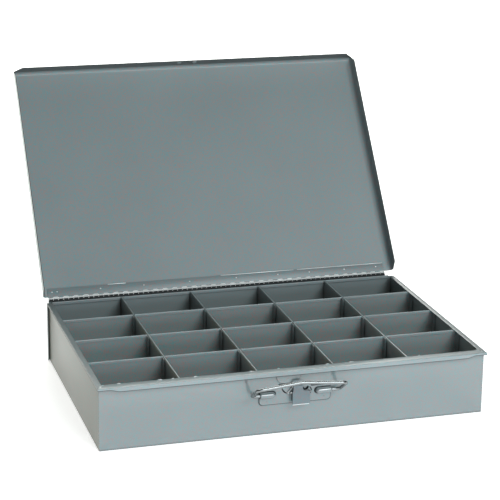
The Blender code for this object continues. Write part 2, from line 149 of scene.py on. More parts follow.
def enamel(name, colour, roughness=0.3, gloss=0.5, seam_shade=0.35, fleck=0.22):
    """Sprayed enamel: a cool and warm speckle of strength fleck, soft mottling, wavy sheet, and painted shade
    at each seam and where pieces meet.
    """
    material, tree, shader = surface(name)
    where = tree.nodes.new("ShaderNodeTexCoord").outputs["Object"]
    mottle = noise(tree, where, MOTTLE, 2.0)
    speckle = noise(tree, where, SPECKLE, 2.0, 0.7)
    dark, pale = tuple(c * 0.97 for c in colour), tuple(c * 1.03 for c in colour)
    base = blend_colour(tree, remap(tree, mottle, 0.3, 0.7, 0.0, 1.0), dark, pale)
    cool = (1 - fleck, 1 + 0.41 * fleck, 1 + 0.5 * fleck)
    warm = (1 + fleck, 1 - 0.32 * fleck, 1 - 0.36 * fleck)
    tint = blend_colour(tree, remap(tree, speckle, 0.35, 0.65, 0.0, 1.0), cool, warm)
    base = blend_colour(tree, 1.0, base, tint, "MULTIPLY")
    # painted shade, from ambient occlusion, at seams and where pieces meet
    base = blend_colour(tree, painted_crevice_shade(tree, CREVICE_SHADE_REACH, seam_shade), (0.0, 0.0, 0.0), base)
    tree.links.new(base, shader.inputs["Base Color"])
    shader.inputs["Roughness"].default_value = roughness
    shader.inputs["IOR"].default_value = 1.52
    shader.inputs["Specular IOR Level"].default_value = gloss
    bumps(tree, shader, [
        (noise(tree, where, SHEET_WAVE, 0.0), 0.2, 1.0 * MM),
        (noise(tree, where, SPRAY_GRAIN, 1.0), 0.08, 0.06 * MM),
    ])
    return material


def metal(name, colour, roughness, grain, metallic=1.0):
    """Plated steel with fine drawn grain along X and dull blotches."""
    material, tree, shader = surface(name)
    where = tree.nodes.new("ShaderNodeTexCoord").outputs["Object"]
    stretch = node_of(tree, "ShaderNodeMapping", Scale=(0.06, 1.0, 1.0))
    tree.links.new(where, stretch.inputs["Vector"])
    lines = noise(tree, stretch.outputs["Vector"], DRAWN_GRAIN)
    blotch = noise(tree, where, BLOTCH, 2.0)
    dull = tuple(c * 0.82 for c in colour)
    tint = blend_colour(tree, remap(tree, blotch, 0.3, 0.7, 0.0, 1.0), dull, colour)
    tree.links.new(tint, shader.inputs["Base Color"])
    shader.inputs["Metallic"].default_value = metallic
    polish = remap(tree, blotch, 0.3, 0.7, roughness * 1.35, roughness * 0.8)
    tree.links.new(polish, shader.inputs["Roughness"])
    bumps(tree, shader, [(lines, grain, 0.03 * MM)])
    return material


ENAMEL = (0.215, 0.247, 0.250)


def grey(share):
    """The enamel's colour, darker or lighter."""
    return tuple(c * share for c in ENAMEL)


PAINT = enamel("enamel_grey", ENAMEL)
# The front wall's enamel is painted a little darker, as painted shade.
PAINT_FRONT_SHADED = enamel("enamel_front", grey(0.9), roughness=0.1, gloss=1.0, seam_shade=0.25)
# The lid's inside is painted darker, as painted shade.
LID_SHADED_PAINT = enamel("enamel_lid", grey(0.88), roughness=0.36, seam_shade=0.8, fleck=0.45)
LEAF_PAINT = enamel("enamel_leaf", grey(0.84), roughness=0.36, seam_shade=0.8, fleck=0.45)
# The left wall's enamel is tinted warmer and darker, as painted warm light and shade.
SIDE_WARM_LIT_PAINT = enamel("enamel_side", (0.160, 0.170, 0.145), fleck=0.4)
# The front rim's enamel is painted lighter, as painted light.
RIM_LIT_PAINT = enamel("enamel_lit_front_rim", grey(1.18))
# The side rims' enamel is painted darker, as painted shade.
SIDE_RIM_SHADED_PAINT = enamel("enamel_shaded_side_rim", grey(0.82))
# The floor and dividers inside are painted lighter, as painted light.
PAINT_IN_LIT = enamel("enamel_lit_inside", (0.246, 0.270, 0.268), roughness=0.36, seam_shade=0.8, fleck=0.45)
PLATE_PAINT = enamel("enamel_latch", grey(0.95), roughness=0.22, gloss=0.8, seam_shade=0.2)
# The flap is painted darker and bluer, as painted shade.
FLAP_SHADED_PAINT = enamel("enamel_shaded_flap", (0.140, 0.168, 0.180))
# Near black painted shade: cut walls, loop bores, the lever's ears, cut edges, the knuckles' lower faces and
# thin dark strips in gaps.
PAINTED_SHADE = enamel("enamel_painted_shade", grey(0.08), roughness=0.6)
# The insides of the lid's side flanges, as painted shade.
FLANGE_INSIDE_SHADED = enamel("enamel_shaded_lid_flange_inside", grey(0.95), roughness=0.6, seam_shade=0.8)
FLANGE_SHADE = enamel("enamel_lid_front_flange", grey(0.4), roughness=0.6, seam_shade=0.8)
# The outsides of the lid's side flanges and the flat's back edge, painted lighter as painted light.
FLANGE_OUTSIDE_LIT = enamel("enamel_lit_lid_flange_outside", grey(1.7))
# The hems' tops are painted lighter, as painted highlight.
HEM_LIT_PAINT = enamel("enamel_lit_hems", grey(1.3), seam_shade=0.8)
# The knuckles' steel is pale and matt, so its colour also holds their painted highlight.
KNUCKLE_STEEL_GLINT = metal("steel_hinge_pale_glint", (0.70, 0.71, 0.70), roughness=0.4, grain=0.25, metallic=0.1)
WIRE_BRIGHT = metal("steel_wire", (0.27, 0.28, 0.28), roughness=0.09, grain=0.03, metallic=0.85)
# Pale enamel: a painted highlight along the pressed ear's edge and the flap's rolled edge, and the pale weld
# beads.
PALE_HIGHLIGHT_PAINT = enamel("enamel_pale_highlight", (0.62, 0.65, 0.64), roughness=0.2, gloss=0.8, seam_shade=0.6)
LOOP_PAINT = enamel("enamel_loops", grey(0.9), roughness=0.09, gloss=1.0, seam_shade=0.2)
# Pale steel: a painted highlight along the loops' crests, bare steel with a painted highlight along the
# leaf's edge, and the leaf's weld beads.
WEAR_AND_GLINT_STEEL = metal("steel_wear_and_glint", (0.8, 0.81, 0.8), roughness=0.45, grain=0.1)
SPRING_STEEL = metal("steel_spring", (0.40, 0.40, 0.39), roughness=0.3, grain=0.2)


# ---------------------------------------------------------------- mesh tools

def finish_piece(name, bm, materials, body, nodes=(), smooth_deg=38.0):
    """Turns a filled bmesh into a smooth-shaded piece that rides on a body."""
    bmesh.ops.recalc_face_normals(bm, faces=bm.faces)
    mesh = bpy.data.meshes.new(name)
    bm.to_mesh(mesh)
    bm.free()
    obj = bpy.data.objects.new(name, mesh)
    bpy.context.scene.collection.objects.link(obj)
    for material in materials if isinstance(materials, list) else [materials]:
        mesh.materials.append(material)
    for polygon in mesh.polygons:
        polygon.use_smooth = True
    mesh.set_sharp_from_angle(angle=math.radians(smooth_deg))
    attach(obj, body)
    if nodes:
        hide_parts(*nodes)
    return obj


def edge_round(obj, width, angle_deg=35.0):
    """Rounds the sharp edges of a piece."""
    modifier = obj.modifiers.new("edges", "BEVEL")
    modifier.width = width
    modifier.segments = 2
    modifier.limit_method = "ANGLE"
    modifier.angle_limit = math.radians(angle_deg)
    modifier.harden_normals = True


def loft(bm, rings, material=0, dark=(), dark_material=1):
    """Joins rings of points into a capped skin; the columns in dark take a second material."""
    made = [[bm.verts.new(point) for point in ring] for ring in rings]
    count = len(made[0])
    for ring, following in zip(made, made[1:]):
        for i in range(count):
            j = (i + 1) % count
            face = bm.faces.new((ring[i], ring[j], following[j], following[i]))
            face.material_index = dark_material if i in dark else material
    for ring in (made[0], made[-1]):
        bm.faces.new(ring).material_index = material


def prism_x(bm, outline, xs, **looks):
    """A loft of one (y, z) outline along X."""
    loft(bm, [[(x, y, z) for y, z in outline] for x in xs], **looks)


def prism_y(bm, outline, ys, **looks):
    """A loft of one (x, z) outline along Y."""
    loft(bm, [[(x, y, z) for x, z in outline] for y in ys], **looks)


def prism_z(bm, outline, zs, **looks):
    """A loft of one (x, y) outline along Z."""
    loft(bm, [[(x, y, z) for x, y in outline] for z in zs], **looks)


def arc(centre, radius, start_deg, end_deg, steps):
    turn = [math.radians(start_deg + (end_deg - start_deg) * i / steps) for i in range(steps + 1)]
    return [(centre[0] + radius * math.cos(a), centre[1] + radius * math.sin(a)) for a in turn]


def box(bm, low, high, radius=0.0):
    """A box between two corners, all its edges rounded."""
    verts = bmesh.ops.create_cube(bm, size=1.0)["verts"]
    low, high = Vector(low), Vector(high)
    for vert in verts:
        vert.co = Vector(low[i] + (high[i] - low[i]) * (vert.co[i] + 0.5) for i in range(3))
    if radius:
        edges = {edge for vert in verts for edge in vert.link_edges}
        bmesh.ops.bevel(bm, geom=list(edges), offset=radius, segments=3, profile=0.5, affect="EDGES")


def tube(bm, points, radius, sides=14):
    """A round wire along points, with domed ends."""
    points = [Vector(p) for p in points]
    last = len(points) - 1
    tangents = [(points[min(i + 1, last)] - points[max(i - 1, 0)]).normalized() for i in range(last + 1)]
    side = tangents[0].orthogonal().normalized()
    stations = []
    for point, tangent in zip(points, tangents):
        side = (side - tangent * side.dot(tangent)).normalized()
        stations.append((point, side, tangent.cross(side), tangent))

    def ring_at(station, shift=0.0, scale=1.0):
        point, first, second, tangent = station
        centre = point + tangent * shift
        return [centre + (first * math.cos(a) + second * math.sin(a)) * radius * scale
                for a in (2 * math.pi * k / sides for k in range(sides))]

    def dome(station, way, leans):
        turns = [math.radians(lean) for lean in leans]
        return [ring_at(station, way * radius * 0.5 * math.sin(a), math.cos(a)) for a in turns]

    loft(bm, [*dome(stations[0], -1, (60, 30)), *[ring_at(station) for station in stations],
              *dome(stations[-1], 1, (30, 60))])


def bead(bm, centre, size, squash, seed):
    """A small uneven blob of weld, size across in X and Y and squash in Z, all as radii."""
    rand = random.Random(seed)
    verts = bmesh.ops.create_icosphere(bm, subdivisions=2, radius=1.0)["verts"]
    for vert in verts:
        lump = 1.0 + 0.18 * (rand.random() - 0.5)
        x, y, z = vert.co * lump
        vert.co = Vector(centre) + Vector((x * size[0], y * size[1], z * squash))


# ---------------------------------------------------------------- case walls

CLEAR = 0.3 * MM  # left between the rims and the folded edges that stop short of them


def slab(node, name, radius=0.3 * MM, material=PAINT):
    bm = bmesh.new()
    box(bm, low_of(node), high_of(node), radius)
    finish_piece(name, bm, material, BODY_OF[node], [node])


def front_wall():
    """The front wall, its vertical and lower edges rounded."""
    low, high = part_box("front_panel")
    bend, foot, foot_ease = 0.8 * MM, 0.55 * MM, 0.16 * MM
    rings = []
    for z, pull in ((low.z, foot), (low.z + foot_ease, foot_ease), (low.z + foot, 0.0), (high.z, 0.0)):
        outline = [*arc((low.x + bend, low.y + bend), bend - pull, 180, 270, 6),
                   *arc((high.x - bend, low.y + bend), bend - pull, 270, 360, 6),
                   (high.x - pull, high.y), (low.x + pull, high.y)]
        rings.append([(x, y, z) for x, y in outline])
    bm = bmesh.new()
    loft(bm, rings)
    finish_piece("front_wall", bm, PAINT_FRONT_SHADED, "case", ["front_panel"])


def back_wall():
    """The back wall, wrapping round both ends, with a rolled top edge."""
    low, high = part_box("back_panel")
    sheet, bend, wrap = 0.9 * MM, 1.3 * MM, 6.0 * MM
    half, bend_y, end_y = high.x, high.y - bend, high.y - wrap
    outer = [*arc((half - bend, bend_y), bend, 0, 90, 6), *arc((-half + bend, bend_y), bend, 90, 180, 6)]
    inner = [*arc((-half + bend, bend_y), bend - sheet, 180, 90, 4),
             *arc((half - bend, bend_y), bend - sheet, 90, 0, 4)]
    outline = [(half, end_y), *outer, (-half, end_y), (-half + sheet, end_y), *inner, (half - sheet, end_y)]
    bm = bmesh.new()
    prism_z(bm, outline, (low.z, high_of("front_panel").z))
    hem_thick, hem_foot = 2.0 * MM, high.z - 4.0 * MM
    hem = [(high.y - hem_thick, hem_foot),
           *arc((high.y - hem_thick / 2, high.z - hem_thick / 2), hem_thick / 2, 180, 0, 8),
           (high.y - 0.1 * MM, hem_foot)]
    reach = low_of("rim_right").x - CLEAR
    prism_x(bm, hem, (-reach, reach))
    obj = finish_piece("back_wall", bm, PAINT, "case", ["back_panel"])
    edge_round(obj, 0.12 * MM)


# ---------------------------------------------------------------- rims

LIP_SHALLOW, LIP_DEEP, LIP_RUN = 3.0 * MM, 5.6 * MM, 13.0 * MM
LIP_END = 27 * MM  # the length at each end that holds the whole change in the lip's depth
RIM_SEAM = 0.08 * MM
LIP_EDGE_SHADE = range(14, 20)  # the faces of rim_section() round the lip's cut edge, which take painted shade
RIM_BEADS = ((-222.6, 2.0), (-204.0, 0.5), (-158.0, 0.6), (-143.0, 0.4), (-117.0, 0.8),
             (-52.0, 1.2), (-20.0, 0.3), (38.0, 0.4), (67.0, 0.5), (150.0, 0.4))  # mm: x, out from the edge


def rim_section(width, drop):
    """A folded rim seen end on: (outward, height below the top) from its inner edge."""
    half, bend, lip = 0.5 * MM, 1.1 * MM, 0.9 * MM
    return [*arc((half, -half), half, 270, 90, 5), *arc((width - bend, -bend), bend, 90, 0, 7),
            (width, -drop + bend), *arc((width - lip / 2, -drop + lip / 2), lip / 2, 0, -180, 5),
            *arc((width - bend, -bend), bend - lip, 0, 90, 4)]


def lip_drop(x, reach):
    """The front lip hangs lower along the middle and eases up near both ends."""
    share = min(1.0, max(0.0, (reach - abs(x) - LIP_RUN) / LIP_RUN))
    return LIP_SHALLOW + (LIP_DEEP - LIP_SHALLOW) * (1 - math.cos(math.pi * share)) / 2


def front_rim():
    """The front rim, mitred at both ends to meet the side rims."""
    low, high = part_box("rim_front")
    side_low, side_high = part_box("rim_right")
    deep, wide, reach = high.y - low.y, side_high.x - side_low.x, high.x
    ends = [reach - LIP_END * (1 - i / 20) for i in range(21)]
    stations = [-x for x in ends] + [i * 25.0 * MM for i in range(-7, 8)] + ends
    rings = []
    for x in sorted(stations):
        ring = []
        for out, down in rim_section(deep, lip_drop(x, reach)):
            mitre = side_low.x + wide * out / deep - RIM_SEAM
            ring.append((max(-mitre, min(mitre, x)), high.y - out, high.z + down))
        rings.append(ring)
    bm = bmesh.new()
    loft(bm, rings, dark=LIP_EDGE_SHADE)
    finish_piece("front_rim", bm, [RIM_LIT_PAINT, FLANGE_SHADE], "case", ["rim_front"])


def rim_corner_web():
    """A small rounded web inside the rims' right front corner."""
    high = high_of("rim_front")
    x, y, r = low_of("rim_right").x + 0.3 * MM, high.y - 0.3 * MM, 6.0 * MM
    web = [(x, y), (x - r, y), *arc((x - r, y + r), r, -81, -9, 8), (x, y + r)]
    bm = bmesh.new()
    prism_z(bm, web, (high.z - 0.9 * MM, high.z - 0.05 * MM))
    finish_piece("rim_corner_web", bm, RIM_LIT_PAINT, "case")


def side_rims():
    """The side rims, mitred at the front."""
    low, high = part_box("rim_front")
    side_low, side_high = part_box("rim_right")
    deep, wide = high.y - low.y, side_high.x - side_low.x
    section = rim_section(wide, LIP_SHALLOW)
    for sign, node, name in ((-1, "rim_left", "left_rim"), (1, "rim_right", "right_rim")):
        first = [(sign * (side_low.x + out), high.y - deep * out / wide + RIM_SEAM, high.z + down)
                 for out, down in section]
        last = [(sign * (side_low.x + out), side_high.y, high.z + down) for out, down in section]
        bm = bmesh.new()
        loft(bm, [first, last], dark=LIP_EDGE_SHADE)
        finish_piece(name, bm, [SIDE_RIM_SHADED_PAINT, PAINTED_SHADE], "case", [node])


def weld_spots():
    """Small beads left along the front rim's inner edge and on its two mitres."""
    high = high_of("rim_front")
    bm = bmesh.new()
    for index, (x, out) in enumerate(RIM_BEADS):
        width = 1.6 + 0.9 * (index % 3)
        centre = (x * MM, high.y - out * MM, high.z - 0.15 * MM)
        bead(bm, centre, (width * MM, 0.9 * MM), 0.75 * MM, index)
    for x in (-226.0, 226.0):
        bead(bm, (x * MM, high.y - 5.5 * MM, high.z), (1.2 * MM, 1.6 * MM), 0.3 * MM, 40 + int(x))
    finish_piece("rim_weld_beads", bm, PALE_HIGHLIGHT_PAINT, "case", smooth_deg=80)


# ---------------------------------------------------------------- dividers

COLUMNS, ROWS = 5, 4
HEM, HEM_TALL, WEB = 1.8 * MM, 4.0 * MM, 0.8 * MM
HEM_LIT_TOP = range(1, 10)  # the faces of hem_section() over its top, which take a painted highlight


def hem_section(top):
    """A folded-over top edge seen end on: (across, height)."""
    half, bend, foot = HEM / 2, HEM / 2 * 0.9, top - HEM_TALL
    fold, lip = 0.12 * MM, 0.3 * MM
    return [(-half, foot), *arc((-half + bend, top - bend), bend, 180, 90, 4),
            *arc((half - bend, top - bend), bend, 90, 0, 4),
            (half, foot + lip), (half - lip, foot), (fold, foot)]


def long_divider(index):
    """A front-to-back divider with a folded top, notched at the back for the back wall's rolled edge."""
    node = f"long_divider_{index}"
    low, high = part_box(node)
    x = (low.x + high.x) / 2
    hem_front = high_of("rim_front").y + CLEAR
    hem_back = high_of("back_panel").y - 2.3 * MM
    under = high_of("front_panel").z
    notch = under - HEM_TALL
    web = [(low.y, low.z), (high.y, low.z), (high.y, notch), (hem_back, notch), (hem_back, under),
           (low.y, under)]
    bm = bmesh.new()
    prism_x(bm, web, (x - WEB / 2, x + WEB / 2))
    hem = [(x + across, z) for across, z in hem_section(high.z)]
    prism_y(bm, hem, (hem_front, hem_back), dark=HEM_LIT_TOP)
    finish_piece(f"divider_long_{index}", bm, [PAINT_IN_LIT, HEM_LIT_PAINT], "case", [node])


def cross_divider(column, row):
    """A strip with a folded top, whose right end turns to the front as a welding flange."""
    node = f"cross_divider_{column}_{row}"
    low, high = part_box(node)
    bend, flange, half = 1.2 * MM, 9.0 * MM, WEB / 2
    y, left, right = high.y - HEM / 2, low.x, high.x - half
    web_top = high_of("front_panel").z
    path = [((left, y), (0.0, 1.0)), ((right - bend, y), (0.0, 1.0))]
    for turn in range(10, 91, 10):
        a = math.radians(90 - turn)
        across = (math.cos(a), math.sin(a))
        path.append(((right - bend + bend * across[0], y - bend + bend * across[1]), across))
    path.append(((right, y - flange), (1.0, 0.0)))
    corners = ((-half, low.z), (half, low.z), (half, web_top), (-half, web_top))
    bm = bmesh.new()
    loft(bm, [[(px + nx * out, py + ny * out, z) for out, z in corners] for (px, py), (nx, ny) in path])
    rim = low_of("rim_right").x - CLEAR
    hem = [(y - across, z) for across, z in hem_section(high.z)]
    prism_x(bm, hem, (max(left, -rim), min(high.x, rim)), dark=HEM_LIT_TOP)
    for step in range(3):
        centre = (right - half, y - flange * 0.62, low.z + (16 + 22 * step) * MM)
        bead(bm, centre, (0.35 * MM, 1.5 * MM), 1.5 * MM, step)
    finish_piece(f"divider_cross_{column}_{row}", bm, [PAINT_IN_LIT, HEM_LIT_PAINT], "case", [node])


# ---------------------------------------------------------------- lid

HINGE = JOINT["lid_hinge"]
AXIS = Vector(HINGE["pos_m"])
OPEN = Matrix.Translation(AXIS) @ Matrix.Rotation(-math.radians(HINGE["range_deg"][1]), 4, "X")
SHEET = 0.9 * MM
LID_X = (low_of("lid_pan").x + high_of("lid_pan").x) / 2
LID_HALF = (high_of("lid_pan").x - low_of("lid_pan").x) / 2
LID_FRONT, LID_BACK = 314.7 * MM, 2.8 * MM
LID_TOP, LID_DEEP, LID_BEND = 1.6 * MM, 16.2 * MM, 4.9 * MM
FRONT_CLIP, REAR_CLIP = 10.5 * MM, 7.0 * MM
BEND_STEPS = 9
DIMPLE_X, DIMPLE_Z, DIMPLE_APART, DIMPLE_R = -2.5 * MM, -10.5 * MM, 10.4 * MM, 3.0 * MM
# Each skin face's own finish; its inner side takes the next in the list and its cut edge the one after. The
# finishes are lit and shaded copies of the enamel: the side flanges' outsides painted lighter as painted
# light, their insides and the front flange's inside painted darker, and the cut edges in painted shade.
TOP_FACES, SIDE_FACES, FRONT_FACES = 0, 2, 5
LID_PAINTS = [PAINT, LID_SHADED_PAINT, FLANGE_OUTSIDE_LIT, FLANGE_INSIDE_SHADED, PAINTED_SHADE, PAINT, FLANGE_SHADE, PAINTED_SHADE]


def turned(bm):
    """Swings a closed-lid mesh, measured from the hinge axis, to the rest angle."""
    bmesh.ops.transform(bm, matrix=OPEN, verts=bm.verts)


def lid_fold():
    """The fold along the lid's edges, end on: (outward, downward, share of the way down the flange)."""
    turn = [math.radians(90 * i / BEND_STEPS) for i in range(BEND_STEPS + 1)]
    bend = [(LID_BEND * math.sin(a), -LID_BEND * (1 - math.cos(a)), 0.0) for a in turn]
    straight = LID_DEEP - LID_BEND
    return bend + [(LID_BEND, -LID_BEND - straight * share, share) for share in (0.33, 0.67, 1.0)]


def lid_skin(bm):
    """The lid's outside skin: a flat top that folds down along the front and both sides."""
    flat_x, flat_y = LID_HALF - LID_BEND, -LID_FRONT + LID_BEND
    across = [i / 12 for i in range(-12, 13)]
    along = [i / 8 for i in range(9)]

    def strip(columns, flange_faces):
        verts = [[bm.verts.new(point) for point in column] for column in columns]
        for first, second in zip(verts, verts[1:]):
            for i in range(len(first) - 1):
                face = bm.faces.new((first[i], second[i], second[i + 1], first[i + 1]))
                face.material_index = flange_faces if i >= BEND_STEPS else TOP_FACES

    strip([[(LID_X + s * flat_x, -LID_BACK + (flat_y + LID_BACK) * t, LID_TOP) for t in along]
           for s in across], TOP_FACES)
    strip([[(LID_X + s * (flat_x + out - FRONT_CLIP * share), flat_y - out, LID_TOP + down)
            for out, down, share in lid_fold()] for s in across], FRONT_FACES)
    for side in (-1, 1):
        columns = []
        for t in along:
            column = []
            for out, down, share in lid_fold():
                rear, front = -LID_BACK - REAR_CLIP * share, flat_y - out + FRONT_CLIP * share
                column.append((LID_X + side * (flat_x + out), rear + (front - rear) * t, LID_TOP + down))
            columns.append(column)
        strip(columns, SIDE_FACES)
    bmesh.ops.remove_doubles(bm, verts=bm.verts, dist=0.01 * MM)


def lid_shell():
    """The lid's pan, its skin thickened inwards to a sheet."""
    bm = bmesh.new()
    lid_skin(bm)
    turned(bm)
    obj = finish_piece("lid_shell", bm, LID_PAINTS, "lid", ["lid_pan"])
    solid = obj.modifiers.new("sheet", "SOLIDIFY")
    solid.thickness = SHEET
    solid.offset = -1.0
    solid.use_even_offset = True
    solid.material_offset = 1
    solid.material_offset_rim = 2
    edge_round(obj, 0.25 * MM, 60)


def lid_dimples():
    """Two snap dimples that stand in from the front flange."""
    bm = bmesh.new()
    inside = -LID_FRONT + SHEET - 0.1 * MM
    for side in (-1, 1):
        centre = (DIMPLE_X + side * DIMPLE_APART, DIMPLE_Z)
        rings = []
        for lean in range(0, 90, 15):
            a = math.radians(lean)
            rings.append([(x, inside + 1.3 * MM * math.sin(a), z)
                          for x, z in arc(centre, DIMPLE_R * math.cos(a), 0, 345, 23)])
        loft(bm, rings)
    turned(bm)
    finish_piece("lid_catch_dimples", bm, LID_SHADED_PAINT, "lid")


# ---------------------------------------------------------------- hinge

KNUCKLES, KNUCKLE_GAP, KNUCKLE_R, KNUCKLE_BORE = 70, 0.8 * MM, 1.6 * MM, 0.95 * MM
LEAF_ROOT, LEAF_HALF = 1.9 * MM, 0.38 * MM
LEAF_FINISHES = [LEAF_PAINT, KNUCKLE_STEEL_GLINT, PAINTED_SHADE]
LEAF_BEADS = (-222, -215.5, -160, -104, -44, 18, 74, 117, 165, 209)  # mm, along X
BARE_AND_GLINT_EDGES = ((-150.0, -127.0), (-2.0, 96.0), (101.0, 219.0))  # mm, along X: stretches of the leaf's edge drawn pale, as bare steel and a painted highlight


def curl(bm, place, offset, length, start, end, shaded):
    """One hinge knuckle with the root of its leaf; its shaded columns are dark."""
    upper = math.degrees(math.asin((offset + LEAF_HALF) / KNUCKLE_R))
    lower = math.degrees(math.asin((offset - LEAF_HALF) / KNUCKLE_R))
    outline = [(length, offset + LEAF_HALF), *arc((0, 0), KNUCKLE_R, upper, 177, 12),
               *arc((0, 0), KNUCKLE_BORE, 177, -177, 12), *arc((0, 0), KNUCKLE_R, -177, lower, 12),
               (length, offset - LEAF_HALF)]
    prism_x(bm, [place(p) for p in outline], (start, end), material=1, dark=shaded, dark_material=2)


def hinge_leaf(bm, place, offset, length, below, above, first, shaded):
    """A leaf and every second knuckle; place turns (along the leaf, across it) into (y, z)."""
    left, right = low_of("hinge_pin").x, high_of("hinge_pin").x
    pitch = (right - left) / KNUCKLES
    (y_root, z_root), (y_end, z_end) = place((LEAF_ROOT, offset - below)), place((length, offset + above))
    low = (left, min(y_root, y_end), min(z_root, z_end))
    high = (right, max(y_root, y_end), max(z_root, z_end))
    box(bm, low, high, 0.3 * MM)
    for index in range(first, KNUCKLES, 2):
        start = left + index * pitch + KNUCKLE_GAP / 2
        curl(bm, place, offset, LEAF_ROOT + 0.8 * MM, start, start + pitch - KNUCKLE_GAP, shaded)


def case_leaf():
    """The leaf that hangs from the axis, outside the back wall."""
    bm = bmesh.new()
    hinge_leaf(bm, lambda p: (p[1], -p[0]), -1.18 * MM, 16 * MM, 0.4 * MM, 0.4 * MM, 0, range(35, 40))
    bmesh.ops.translate(bm, verts=bm.verts, vec=AXIS)
    finish_piece("case_hinge_leaf", bm, LEAF_FINISHES, "case", ["hinge_leaf_case"])


def lid_leaf():
    """The leaf on the lid's inside."""
    bm = bmesh.new()
    hinge_leaf(bm, lambda p: (-p[0], p[1]), 0.0, 14 * MM, 0.15 * MM, 0.68 * MM, 1, range(27, 32))
    turned(bm)
    finish_piece("lid_hinge_leaf", bm, LEAF_FINISHES, "lid", ["hinge_leaf_lid"])


def leaf_marks():
    """Weld beads on the lid's leaf, and stretches of its edge where the paint has gone, drawn pale as bare
    steel and a painted highlight.
    """
    bm = bmesh.new()
    for index, x in enumerate(LEAF_BEADS):
        bead(bm, (x * MM, -9.2 * MM, -0.15 * MM), (1.0 * MM, 0.8 * MM), 0.35 * MM, 70 + index)
    turned(bm)
    finish_piece("leaf_weld_beads", bm, WEAR_AND_GLINT_STEEL, "lid", smooth_deg=80)
    bm = bmesh.new()
    for start, end in BARE_AND_GLINT_EDGES:
        xs = [(start + (end - start) * i / 12) * MM for i in range(13)]
        tube(bm, [(x, -13.85 * MM, -0.05 * MM) for x in xs], 0.42 * MM, 8)
    turned(bm)
    finish_piece("leaf_bare_and_glint_edge", bm, WEAR_AND_GLINT_STEEL, "lid", smooth_deg=80)


def hinge_shade():
    """A dark strip in the gap between the knuckles and the back wall's top edge."""
    low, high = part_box("hinge_pin")
    bottom, top = high_of("back_panel").z - 0.3 * MM, AXIS.z - 1.0 * MM
    bm = bmesh.new()
    box(bm, (low.x, AXIS.y - 1.85 * MM, bottom), (high.x, AXIS.y - 1.5 * MM, top))
    finish_piece("hinge_gap_shade", bm, PAINTED_SHADE, "case")


def hinge_pin():
    low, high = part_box("hinge_pin")
    inset = 0.5 * MM
    bm = bmesh.new()
    tube(bm, [(x, AXIS.y, AXIS.z) for x in (low.x + inset, high.x - inset)], (high.z - low.z) / 2, 16)
    finish_piece("hinge_wire_pin", bm, SPRING_STEEL, BODY_OF["hinge_pin"], ["hinge_pin"])


# ---------------------------------------------------------------- latch plate

PLATE_LOW, PLATE_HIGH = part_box("latch_plate")
LATCH_X = (PLATE_LOW.x + PLATE_HIGH.x) / 2
GRIP = Vector((LATCH_X, -156.2 * MM, 48.6 * MM))
PLATE_BACK = PLATE_HIGH.y
PLATE_FRONT = PLATE_BACK - 1.2 * MM
LOOP_LONG, LOOP_R, BORE_R = 18.5 * MM, 3.3 * MM, 2.35 * MM
LOOP_STEPS, LOOP_STRAIGHT, LOOP_MOUTH = 10, 0.80, 0.93
LOOP_ENDS = ((PLATE_LOW.x, PLATE_LOW.x + LOOP_LONG, 1), (PLATE_HIGH.x, PLATE_HIGH.x - LOOP_LONG, -1))
# Narrow deep grooves in the plate beside the flap, whose walls take painted shade: points in mm, x then z,
# and the width at each.
GROOVES = (
    (((-18.3, 55.4), (-17.6, 52.9), (-16.3, 51.0), (-14.8, 49.4), (-12.4, 48.1)),
     (0.7, 1.2, 1.4, 1.5, 0.8)),
    (((5.9, 55.6), (6.9, 53.0), (8.9, 50.9), (10.9, 51.6), (12.4, 53.2), (13.2, 54.6)),
     (0.9, 1.2, 2.0, 2.5, 2.4, 1.6)),
    (((14.7, 53.6), (16.4, 51.2), (16.9, 48.7), (15.6, 46.2), (13.9, 44.6)),
     (0.9, 1.1, 1.2, 1.5, 1.7)),
)
EAR_EDGE = ((-5.4, 55.6), (-7.6, 53.0), (-9.7, 50.6), (-11.4, 48.8), (-10.4, 47.4))  # mm: x, z
PLATE_WELDS = ((-35.8, 40.2), (31.8, 40.8), (-35.8, 53.2), (31.0, 53.2))  # mm: x, z


def capsule(x_open, x_round, side, z, radius):
    """Outline in XZ of a slot that is square at x_open and round at x_round."""
    centre = x_round - side * radius
    curve = [(centre + side * x, height) for x, height in arc((0, z), radius, -90, 90, 8)]
    return [(x_open, z - radius), *curve, (x_open, z + radius)]


def plate_outline():
    """The plate: rounded lower corners, and a middle that stands taller than the ends."""
    left, right, bottom, top = PLATE_LOW.x, PLATE_HIGH.x, PLATE_LOW.z, PLATE_HIGH.z
    r, shoulder, half, nip = 4 * MM, 54.3 * MM, 18.5 * MM, 0.6 * MM
    return [(LATCH_X - half, top), (LATCH_X - half, shoulder), (left + nip, shoulder), (left, shoulder - nip),
            *arc((left + r, bottom + r), r, 180, 270, 8), *arc((right - r, bottom + r), r, 270, 360, 8),
            (right, shoulder - nip), (right - nip, shoulder), (LATCH_X + half, shoulder),
            (LATCH_X + half, top)]


def cutter(name, outline, ys):
    """A shape for a Boolean, which cut() takes away again; the walls it cuts take its painted shade."""
    bm = bmesh.new()
    prism_y(bm, outline, ys)
    bmesh.ops.recalc_face_normals(bm, faces=bm.faces)
    mesh = bpy.data.meshes.new(name)
    bm.to_mesh(mesh)
    bm.free()
    mesh.materials.append(PAINTED_SHADE)
    obj = bpy.data.objects.new(name, mesh)
    bpy.context.scene.collection.objects.link(obj)
    return obj


